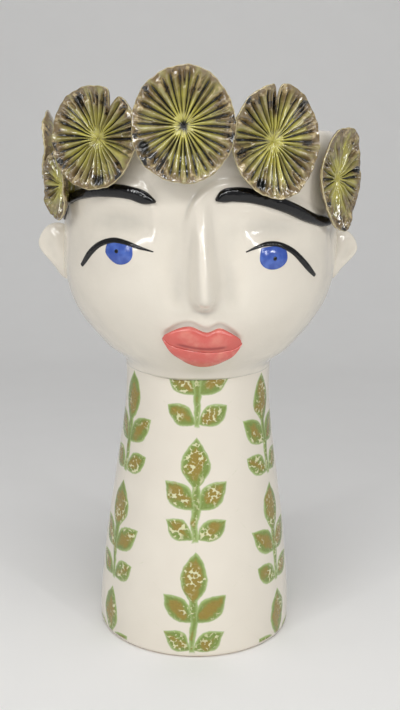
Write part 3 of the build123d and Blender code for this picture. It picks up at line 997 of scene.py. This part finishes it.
# %% Lay the lips
LIPS = {"upper": (UPPER_LIP_LINE, 3.4, 0.62), "lower": (LOWER_LIP_LINE, 4.2, 0.6)}
LIP_COLUMNS, LIP_ROWS = 90, {"upper": 22, "lower": 26}
LIP_FOOT, LIP_EDGE, LIP_END = 0.2, 0.12, 0.25
GROOVE_HALF_WIDTH = 0.8


def lip(line, crown, at_mouth):
    """A lip between the mouth line and its own outline, highest in between and pressed down at its ends."""

    def place(u, v):
        across = spread(MOUTH_LINE, u)
        share = 0.5 + 0.5 * v
        inner, outer = through(MOUTH_LINE, across), through(line, across)
        height = inner + (outer - inner) * share
        middle = LIP_END + (1 - LIP_END) * np.clip(1 - u**4, 0, 1)
        wall = np.clip((1 - share) / LIP_EDGE, 0, 1) ** 0.5
        parted = at_mouth + (1 - at_mouth) * soft_step(0.35, 0.6, np.abs(u))
        swell = parted + (1 - parted) * np.sin(math.pi * np.clip(share + LIP_EDGE, 0, 1)) ** 0.7
        return across, height, LIP_FOOT + crown * wall * swell * middle

    return place


def groove_values(mesh):
    """1 along the mouth line, fading out within a millimetre and a half."""
    points = coordinates(mesh)
    off = points[:, 2] - through(MOUTH_LINE, points[:, 0])
    return np.exp(-((off / GROOVE_HALF_WIDTH) ** 2)) * soft_band((-14, -8), (13, 18), points[:, 0])


for name, sizes in LIPS.items():
    lip_mesh = laid_slab(LIP_COLUMNS, LIP_ROWS[name], lip(*sizes))
    store(lip_mesh, "groove", groove_values(lip_mesh))
    finished_piece(f"glazed_{name}_lip", lip_mesh, coral_glaze, f"{name}_lip")

# %% [markdown]
# ## Ears
# The ears are plain lugs, pinched from a ball of clay and luted to the sides: round above, drawn down to a
# lobe, thinner at the edge, with a thumb's hollow in front. A sphere gives the closed ball. It is stretched
# sideways, from inside the wall to the reach that the CAD ear has.

# %% Model the ears
EAR_ROOT = 9.0
EAR_HOLLOW, EAR_FULL_SHADE = 3.0, 15.0
EAR_HOLLOW_OUT, EAR_HOLLOW_HALF_WIDTH = 0.42, 0.36
EAR_HOLLOW_UP, EAR_HOLLOW_HALF_HEIGHT = 0.12, 0.5
EAR_LOBE, EAR_PINCH = 0.62, 0.35
EAR_SWELLS = [(0.5, 14.0, 2.0)]
EAR_COLUMNS, EAR_ROWS = 56, 40


def model_ear(name, node):
    """Makes a pinched ear that fills the box of its CAD node."""
    low, high = (Vector(corner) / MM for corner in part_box(node))
    side = 1 if low.x > 0 else -1
    reach = max(abs(low.x), abs(high.x))
    middle = (low + high) / 2
    half_deep, half_height = (high.y - low.y) / 2, (high.z - low.z) / 2
    mesh = bmesh.new()
    bmesh.ops.create_uvsphere(mesh, u_segments=EAR_COLUMNS, v_segments=EAR_ROWS, radius=1.0)
    ball = raw_coordinates(mesh)
    out, deep, up = ball.T
    height = middle.z + half_height * up
    wall = head_reach("side", height) - EAR_ROOT
    upper = EAR_LOBE + (1 - EAR_LOBE) * soft_step(-0.75, 0.35, up)
    across = wall + (reach - wall) * (0.5 + 0.5 * out) * upper
    front = np.clip(-deep, 0, 1)
    beside = (out - EAR_HOLLOW_OUT) / EAR_HOLLOW_HALF_WIDTH
    above = (up - EAR_HOLLOW_UP) / EAR_HOLLOW_HALF_HEIGHT
    hollow = EAR_HOLLOW * front * mound(beside, above)
    thin = 1 - EAR_PINCH * soft_step(0.2, 1, out)
    points = np.stack([side * across, middle.y + half_deep * deep * thin + hollow, height], axis=-1)
    points = points + clay_swells(points, EAR_SWELLS)[:, None] * ball * (side, 1, 1)
    place_vertices(mesh, points)
    # Painted shade: the thumb's hollow in front of the ear is painted grey.
    store(mesh, "pool", np.clip(hollow / EAR_FULL_SHADE, 0, 1))
    finished_piece(name, mesh, white_glaze, node)


for side in ("left", "right"):
    model_ear(f"pinched_{side}_ear", f"{side}_ear")

# %% [markdown]
# ## Lily-pad glaze
# The pads are pressed clay under a translucent majolica glaze. On the ridges it is thin and yellow green,
# in the furrows it pools almost black, and towards the rim it breaks to brown with a pale, rubbed edge. The
# mesh carries values for this: `furrow`, `reach`, which runs from the hub to the rim, `streak`, which
# varies round the pad, `pooled`, where the glaze lies thick, and `edge`.

# %% Mix the lily-pad glaze
LILY_YELLOW = tone(184, 176, 82)
LILY_OLIVE = tone(150, 142, 80)
LILY_BROWN = tone(116, 96, 62)
LILY_TAN = tone(188, 168, 122)
LILY_DARK = tone(14, 15, 12)
LILY_EDGE = tone(190, 176, 130)


def paint_lily(place):
    """Yellow ridges, dark furrows, a brown rim with a thin pale edge, and stains where the glaze ran."""
    carried = ("furrow", "reach", "streak", "pooled", "edge")
    furrow, reach, streak, pooled, edge = (attribute(place, name) for name in carried)
    blotch = cloud(place, 7.0, 4.0)
    speck = cloud(place, 4.0, 2.0)
    fine = cloud(place, 1.8, 3.0)
    uneven = streak * 0.4 + (blotch - 0.5) * 1.2
    ridge = blend(ease(reach + uneven, 0.1, 0.6), LILY_YELLOW, LILY_OLIVE)
    ridge = blend(ease(reach + uneven, 0.5, 0.95), ridge, LILY_BROWN)
    ridge = blend(0.8 * ease(speck, 0.54, 0.66) * ease(reach, 0.45, 0.9), ridge, LILY_TAN)
    stain = ease(blotch + fine * 0.3 + streak * 0.15, 0.66, 0.84) * ease(reach, 0.3, 0.8)
    dark = furrow.math("MAXIMUM", furrow * (0.75 + 0.5 * fine), stain * 0.85)
    dark = dark.math("MAXIMUM", dark, pooled)
    colour = blend(ease(dark, 0.3, 0.9), ridge, LILY_DARK)
    colour = blend(ease(edge * (0.4 + 1.1 * speck), 0.3, 0.8), colour, LILY_EDGE)
    return {
        "Base Color": colour,
        "Roughness": 0.03 + 0.06 * fine,
        "Specular IOR Level": 1.0,
        "Coat Weight": 0.6,
        "Coat Roughness": 0.03,
        "Normal": bumps(fine * 0.15 + speck * 0.25 + blotch * 0.5, 1.0, 0.6),
    }


lily_glaze = finish("lily_glaze", paint_lily)

# %% [markdown]
# ## Measuring a pad
# A pad is a shallow dish that leans against the wall. Its CAD solid says where it is: the vertex in the
# middle of its front is the hub, the faces round the hub give the direction it looks in, and the extents
# across give its size. What is left to the modelling is what the roller and the thumb did to it.


# %% Measure the pads
class PadFrame(NamedTuple):
    """Where a pad is: its directions, hub, radii, the rise of its rim, and its wad's middle and end."""

    across: Vector
    up: Vector
    ahead: Vector
    hub: Vector
    radii: list
    rim_rise: float
    wad: Vector
    wad_depth: float


LOOKING_OUT, HUB_ZONE, WAD_END = 0.5, 12, 3


def facing(faces):
    """The direction that some faces look in on average."""
    return sum((face.normal * face.calc_area() for face in faces), Vector()).normalized()


def reaches(places, way):
    """How far some places reach along a direction: the least and the most."""
    along = [place.dot(way) for place in places]
    return min(along), max(along)


def measured_pad(node):
    """Reads a pad's frame from its CAD node, in millimetres."""
    mesh = bmesh.new()
    mesh.from_mesh(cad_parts[node].data)
    places = [vert.co / MM for vert in mesh.verts]
    outwards = sum(places, Vector()) / len(places)
    outwards.z = 0
    faces = [face for face in mesh.faces if face.normal.dot(outwards.normalized()) > LOOKING_OUT]
    middle = sum((face.calc_center_median() * face.calc_area() for face in faces), Vector())
    middle = middle / sum(face.calc_area() for face in faces)
    front = {vert for face in faces for vert in face.verts}
    hub = min(front, key=lambda vert: (vert.co - middle).length).co / MM
    ahead = facing([face for face in faces if (face.calc_center_median() / MM - hub).length < HUB_ZONE])
    up = (Vector((0, 0, 1)) - ahead * ahead.z).normalized()
    across = up.cross(ahead)
    rim = [vert.co / MM - hub for vert in front]
    radii = []
    for way in (across, up):
        least, most = reaches(rim, way)
        radii.append((most - least) / 2)
    rim_rise = reaches(rim, ahead)[1]
    back = reaches(places, ahead)[0]
    wad_points = [place for place in places if place.dot(ahead) < back + WAD_END]
    wad = sum(wad_points, Vector()) / len(wad_points)
    mesh.free()
    return PadFrame(across, up, ahead, hub, radii, rim_rise, wad, back)


pad_frames = {name: measured_pad(name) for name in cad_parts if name.startswith("lily_pad")}
for name, pad in pad_frames.items():
    print(name, "radii", [round(part, 1) for part in pad.radii], "dish", round(pad.rim_rise, 1))

# %% [markdown]
# ## The furrows of a pad
# Furrows are pressed from near the hub towards the rim where the solid has them, each with a slight bend,
# and short ones fill some of the gaps. The clay between two furrows swells into a pleat. No two pads are
# alike, so a small table says how each one differs, and its seed draws the rest.


# %% Say how the pads differ
class PadLook(NamedTuple):
    """How a pad differs: furrows, their phase, angles of a slit and a pooled patch, a dark hub, seed and
    turn.
    """

    furrows: int
    phase: float
    slit: float | None
    pool: float | None
    hub: float
    seed: int
    turn: float = 0.0


PAD_LOOKS = {
    "lily_pad_front": PadLook(30, -6.5, None, 207.0, 1.0, 1),
    "lily_pad_front_left": PadLook(29, -41.0, 62.0, 280.0, 0.5, 2),
    "lily_pad_front_right": PadLook(30, 27.0, 92.0, 245.0, 0.0, 3),
    "lily_pad_left_low": PadLook(21, -67.0, None, None, 0.1, 4, -7.0),
    "lily_pad_right": PadLook(28, 64.0, None, None, 0.0, 5),
    "lily_pad_left_high": PadLook(22, -90.0, None, None, 0.2, 6),
    "lily_pad_back_left": PadLook(28, -139.0, 110.0, None, 0.1, 7),
    "lily_pad_back": PadLook(30, -176.0, None, 320.0, 0.8, 8),
    "lily_pad_back_right": PadLook(29, 147.0, 75.0, None, 0.0, 9),
    "lily_pad_right_rear": PadLook(24, 113.0, None, None, 0.1, 10),
}
print("furrows on each pad", [look.furrows for look in PAD_LOOKS.values()])

# %% Press the furrows
FURROW_STRAY = 0.12
FURROW_STRAY_STEP = math.radians(137.5)
FURROW_STARTS = (0.03, 0.07, 0.14)
FURROW_BENDS, FURROW_SHARES = (-0.08, 0.08), (0.72, 1.12)
FURROW_RUN = 0.12
FURROW_HALF_WIDTH, FURROW_WIDENING = 0.3, 0.5
FURROW_DEPTHS = [(0, 0), (0.14, 0), (0.3, 0.7), (0.45, 1.3), (0.66, 1.55), (0.86, 1.7), (0.96, 0), (1, 0)]
FURROW_END = (0.84, 0.98)
SHORT_CHANCE, SHORT_SHARE, SHORT_STARTS = 0.5, 0.62, (0.45, 0.7)
PLEAT_RISE = (0.1, 0.3)
DARK_SHARE = 2.7


class Furrow(NamedTuple):
    """One furrow: its angle, how much it bends, where it starts, and its share of the usual depth."""

    angle: float
    bend: float
    start: float
    share: float


def pressed_furrows(look):
    """Furrows all round, none quite regular, with short ones in some of the gaps."""
    chance = random.Random(look.seed)
    spacing = math.tau / look.furrows
    furrows = []
    for step in range(look.furrows):
        stray = FURROW_STRAY * math.sin(FURROW_STRAY_STEP * step + math.radians(look.phase))
        angle = spacing * (step + stray)
        bend, share = chance.uniform(*FURROW_BENDS), chance.uniform(*FURROW_SHARES)
        furrows.append(Furrow(angle, bend, chance.choice(FURROW_STARTS), share))
        if chance.random() < SHORT_CHANCE:
            furrows.append(Furrow(angle + spacing / 2, bend, chance.uniform(*SHORT_STARTS), SHORT_SHARE))
    return furrows


def turn_from(line, angle):
    """The turn from a line to an angle, between minus and plus half a turn."""
    return (angle - line + math.pi) % math.tau - math.pi


def furrow_values(look, angle, reach, size):
    """The depth of the furrows in mm, how dark they are, and how high each place is on a pleat."""
    usual = through(FURROW_DEPTHS, reach)
    ending = 1 - soft_step(*FURROW_END, reach)
    depth, dark, nearest = np.zeros_like(reach), np.zeros_like(reach), np.full_like(reach, math.pi)
    for furrow in pressed_furrows(look):
        off = np.abs(turn_from(furrow.angle + furrow.bend * (reach - 0.5), angle))
        run = soft_step(furrow.start, furrow.start + FURROW_RUN, reach) * furrow.share
        half_width = (FURROW_HALF_WIDTH + FURROW_WIDENING * usual) * (0.6 + 0.4 * furrow.share)
        beside = (off * reach * size / half_width) ** 2
        depth = np.maximum(depth, run * usual * np.exp(-beside))
        dark = np.maximum(dark, run * np.exp(-beside * DARK_SHARE) * ending)
        nearest = np.minimum(nearest, np.where(run > 0.5, off, nearest))
    pleat = np.sin(math.pi / 2 * np.clip(nearest * look.furrows / math.pi, 0, 1))
    return depth, dark, pleat * soft_step(*PLEAT_RISE, reach) * ending


print("the front pad has", len(pressed_furrows(PAD_LOOKS["lily_pad_front"])), "furrows with its short ones")

# %% [markdown]
# ## The outline and the pools of a pad
# The rim waves, and some pads have a slit where two lobes meet: the outline is cut in there, and one lobe
# stands up beside the other. The glaze has run together round some hubs and in a patch near the rim.

# %% Shape the outline and the pools
OUTLINE_MEAN, LOBE_WAVE, LOBES = 0.995, 0.009, 5
OUTLINE_WAVES = [(0.007, 3), (0.006, 13), (0.004, 31)]
SLIT_DEPTH, SLIT_HALF_WIDTH = 0.3, 0.07
SLIT_LIFT, SLIT_STEP, SLIT_SPREAD = 1.8, 0.1, 0.7
STREAKS_ROUND, STREAKS_ALONG, STREAKS_APART = 6, 2.5, 10
HUB_POOL, HUB_POOL_STREAK = 0.13, 0.08
POOL_REACH, POOL_DEPTH = 0.83, 1.1
POOL_HALF_TURN, POOL_HALF_REACH = 0.2, 0.14


def pad_outline_share(look, angle, chance):
    """The uneven outline of a pad as a share of its radius, with its slit."""
    share = OUTLINE_MEAN + LOBE_WAVE * np.cos(LOBES * angle + math.radians(look.phase))
    for size, waves in OUTLINE_WAVES:
        share = share + size * np.sin(waves * angle + chance.uniform(0, 6))
    if look.slit is not None:
        off = turn_from(math.radians(look.slit), angle)
        share = share - SLIT_DEPTH * np.exp(-((off / SLIT_HALF_WIDTH) ** 2))
    return share


def slit_lift(look, angle, reach):
    """Beside a slit one lobe stands up and the other lies low."""
    if look.slit is None:
        return 0
    off = turn_from(math.radians(look.slit), angle)
    return SLIT_LIFT * reach**3 * np.tanh(off / SLIT_STEP) * np.exp(-((off / SLIT_SPREAD) ** 2))


def streaks(look, angle, reach):
    """Unevenness of the glaze from -1 to 1: quick changes round the pad and slow ones along a furrow."""
    along = STREAKS_ALONG * reach + STREAKS_APART * look.seed
    places = [STREAKS_ROUND * np.cos(angle), STREAKS_ROUND * np.sin(angle), along]
    return clay_swell(np.stack(places, axis=-1), 1.0, 0.5)


def pooled_glaze(look, angle, reach):
    """Where the glaze has pooled: round a dark hub, and in a patch near the rim at the look's angle."""
    hub_pool = HUB_POOL + HUB_POOL_STREAK * streaks(look, angle, reach)
    pooled = look.hub * np.exp(-((reach / hub_pool) ** 2))
    if look.pool is not None:
        off = turn_from(math.radians(look.pool), angle)
        patch = mound(off / POOL_HALF_TURN, (reach - POOL_REACH) / POOL_HALF_REACH)
        pooled = np.maximum(pooled, POOL_DEPTH * patch)
    return pooled


slits = [node for node, look in PAD_LOOKS.items() if look.slit is not None]
print("pads with a slit:", slits)

# %% [markdown]
# ## Modelling a pad
# Each pad is a disc, spun from one outline: out along the front, round the rim, back along the underside.
# The furrows, pleats and waves are heights over a shallow dish, and the dish is then set at the hub that
# was measured. Every pad has a wad of clay behind it, with which the potter stuck it to the wall.

# %% Define the wad
HUB_THICKNESS = 3.8
WAD_FOOT, WAD_TOP, WAD_SEGMENTS = 8.5, 6.5, 32


def add_wad(mesh, pad):
    """The wad of clay that joins a pad to the wall, as a stub with a wide foot."""
    length = pad.hub.dot(pad.ahead) - HUB_THICKNESS / 2 - pad.wad_depth
    turn = Matrix((pad.across, pad.up, pad.ahead)).transposed().to_4x4()
    middle = pad.wad + pad.ahead * (pad.wad_depth + length / 2 - pad.wad.dot(pad.ahead))
    sizes = {"radius1": WAD_FOOT, "radius2": WAD_TOP, "depth": length, "segments": WAD_SEGMENTS}
    stub = bmesh.ops.create_cone(mesh, cap_ends=True, matrix=turn, **sizes)
    bmesh.ops.translate(mesh, verts=stub["verts"], vec=middle)
    bmesh.ops.scale(mesh, verts=stub["verts"], vec=(MM, MM, MM))


print("a wad is", 2 * WAD_FOOT, "mm wide at its foot")

# %% Define how a pad is modelled
PAD_STEPS = 480
FRONT_RINGS, BACK_RINGS = 40, 10
PAD_DRUM = 100.0
PAD_RIM = [(0.992, 0), (1, -0.25), (1, -0.7), (0.99, -1)]
RIM_THICKNESS = 2.2
RIM_WAVES = [(0.9, 2), (0.6, 5)]
PLEAT, PLEAT_STREAK = 1.6, 0.8
EDGE_ROLL, EDGE_ROLL_REACH, EDGE_ROLL_WIDTH = 0.4, 0.97, 0.025
HUB_PIT, HUB_PIT_WIDTH, PALE_EDGE_WIDTH = 0.5, 0.07, 0.014
GRAIN, GRAIN_SIZE = 0.14, 3.5
OUTLINE_SEED = 100


def ring(reach, middle, half_width):
    """A soft ring round the hub: 1 at its middle, 0 away from it."""
    return np.exp(-(((reach - middle) / half_width) ** 2))


def model_pad(name, node, look):
    """Makes a pressed and waved lily pad on its wad of clay, in the place of its CAD node."""
    pad = pad_frames[node]
    chance = random.Random(look.seed + OUTLINE_SEED)
    outline = [(PAD_DRUM * step / FRONT_RINGS, 0) for step in range(FRONT_RINGS)]
    outline += [(PAD_DRUM * share, down) for share, down in PAD_RIM]
    outline += [(PAD_DRUM * step / BACK_RINGS, -1) for step in range(BACK_RINGS - 1, -1, -1)]
    mesh = turned(outline, PAD_STEPS, closed=False)
    disc = coordinates(mesh)
    reach = np.hypot(disc[:, 0], disc[:, 1]) / PAD_DRUM
    angle = np.arctan2(disc[:, 1], disc[:, 0])
    front = 1 + np.clip(disc[:, 2], -1, 0)
    share = reach * pad_outline_share(look, angle, chance)
    across = share * pad.radii[0] * np.cos(angle)
    up = share * pad.radii[1] * np.sin(angle)
    furrow, dark, pleat = furrow_values(look, angle, reach, sum(pad.radii) / 2)
    wave = sum(size * np.sin(waves * angle + chance.uniform(0, 6)) for size, waves in RIM_WAVES)
    rolled_edge = EDGE_ROLL * ring(reach, EDGE_ROLL_REACH, EDGE_ROLL_WIDTH)
    pit = HUB_PIT * ring(reach, 0, HUB_PIT_WIDTH)
    dish = pad.rim_rise * np.hypot(across, up) ** 2 / max(pad.radii) ** 2
    dish = dish + wave * reach**3 + slit_lift(look, angle, reach)
    streak = streaks(look, angle, reach)
    relief = front * (PLEAT * (pleat - 0.5) * (1 + PLEAT_STREAK * streak) - furrow + rolled_edge - pit)
    thickness = RIM_THICKNESS + (HUB_THICKNESS - RIM_THICKNESS) * (1 - reach**2)
    depth = dish + relief - thickness * (1 - front)
    turn = Matrix.Rotation(math.radians(look.turn), 3, pad.up)
    axes = np.array([turn @ pad.across, pad.up, turn @ pad.ahead])
    points = np.array(pad.hub) + np.stack([across, up, depth], axis=-1) @ axes
    points = points + GRAIN * (front * clay_swell(points, GRAIN_SIZE, look.seed))[:, None] * axes[2]
    place_vertices(mesh, points)
    store(mesh, "furrow", dark * front)
    store(mesh, "reach", reach)
    store(mesh, "streak", streak)
    store(mesh, "pooled", pooled_glaze(look, angle, reach) * front)
    store(mesh, "edge", ring(reach, 1, PALE_EDGE_WIDTH) * soft_step(0.2, 0.7, front))
    add_wad(mesh, pad)
    finished_piece(name, mesh, lily_glaze, node)


# %% Model the wreath
for node, look in PAD_LOOKS.items():
    model_pad(f"pressed_{node}", node, look)
print("the wreath has", len(PAD_LOOKS), "pads")

# %% [markdown]
# ## Studio
# The vase stands on a pale sweep: a floor that curves up into a wall, so there is no horizon. A wide strip
# of light above the camera models the face and puts long glints on the glaze. A soft lamp overhead and one
# from each side fill the shade, two slim upright ones add glints, and the world adds an even, pale light.

# %% Build the sweep
SWEEP_HALF_WIDTH, SWEEP_HEIGHT = 2.2, 2.4
SWEEP_FRONT, SWEEP_BEND, SWEEP_BACK = -1.6, 0.7, 1.5
BEND_POINTS = 17
sweep = bmesh.new()
line = [sweep.verts.new((-SWEEP_HALF_WIDTH, deep, 0)) for deep in (SWEEP_FRONT, SWEEP_BEND)]
bend_radius = SWEEP_BACK - SWEEP_BEND
for angle in np.linspace(0, math.pi / 2, BEND_POINTS)[1:]:
    deep = SWEEP_BEND + bend_radius * math.sin(angle)
    line.append(sweep.verts.new((-SWEEP_HALF_WIDTH, deep, bend_radius * (1 - math.cos(angle)))))
line.append(sweep.verts.new((-SWEEP_HALF_WIDTH, SWEEP_BACK, SWEEP_HEIGHT)))
edges = [sweep.edges.new(pair) for pair in zip(line, line[1:])]
across_all = bmesh.ops.extrude_edge_only(sweep, edges=edges)
far_side = [item for item in across_all["geom"] if isinstance(item, bmesh.types.BMVert)]
bmesh.ops.translate(sweep, verts=far_side, vec=(2 * SWEEP_HALF_WIDTH, 0, 0))
bmesh.ops.recalc_face_normals(sweep, faces=sweep.faces[:])
for face in sweep.faces:
    face.smooth = True
sweep_data = bpy.data.meshes.new("sweep")
sweep.to_mesh(sweep_data)
sweep.free()


def paint_sweep(place):
    """Plain pale paper with the faintest mottling."""
    paper = blend(cloud(place, 60), tone(234, 233, 231), tone(237, 236, 234))
    return {"Base Color": paper, "Roughness": 0.9}


sweep_data.materials.append(finish("pale_paper", paint_sweep))
sweep_object = bpy.data.objects.new("sweep", sweep_data)
bpy.context.scene.collection.objects.link(sweep_object)
print("sweep", len(sweep_data.polygons), "faces")

# %% Set the lamps
AIM = Vector((0, 0, 0.2))


def lamp(name, place, width, height, power):
    """A soft lamp, round or drawn out to a strip, that looks at the middle of the vase."""
    data = bpy.data.lights.new(name, "AREA")
    data.shape = "ELLIPSE"
    data.size = width
    data.size_y = height
    data.energy = power
    made = bpy.data.objects.new(name, data)
    made.location = place
    made.rotation_euler = (AIM - Vector(place)).to_track_quat("-Z", "Y").to_euler()
    bpy.context.scene.collection.objects.link(made)
    return made


lamps = [
    lamp("strip_lamp", (0.0, -1.2, 0.95), 2.4, 0.08, 9),
    lamp("overhead_lamp", (0.0, -0.45, 1.6), 0.8, 0.8, 4),
    lamp("key_lamp", (-0.75, -1.05, 1.15), 0.3, 0.3, 1.8),
    lamp("fill_lamp", (1.1, -0.8, 0.7), 0.14, 0.14, 1.2),
    lamp("left_glint_lamp", (-0.75, -0.8, 0.6), 0.05, 0.5, 1.5),
    lamp("right_glint_lamp", (0.7, -0.85, 0.6), 0.05, 0.5, 1.5),
]
print("lamps", [made.name for made in lamps])

# %% Light the world
WORLD_LIGHT, WORLD_SEEN = 0.5, 1.0
world = bpy.data.worlds.new("studio")
bpy.context.scene.world = world
world.use_nodes = True
world_nodes = world.node_tree
world_nodes.nodes.clear()
start = Wire(world_nodes)
rays = start.node("ShaderNodeLightPath", {}, {}, "Is Camera Ray")
light = start.node("ShaderNodeBackground", {}, {"Color": tone(216, 217, 219), "Strength": WORLD_LIGHT})
seen = start.node("ShaderNodeBackground", {}, {"Color": tone(216, 216, 215), "Strength": WORLD_SEEN})
mixed = start.node("ShaderNodeMixShader", {}, {0: rays, 1: light, 2: seen})
world_out = world_nodes.nodes.new("ShaderNodeOutputWorld")
world_nodes.links.new(mixed.socket, world_out.inputs["Surface"])
bpy.context.scene.view_settings.view_transform = "Standard"
print("the world has", len(world_nodes.nodes), "nodes")
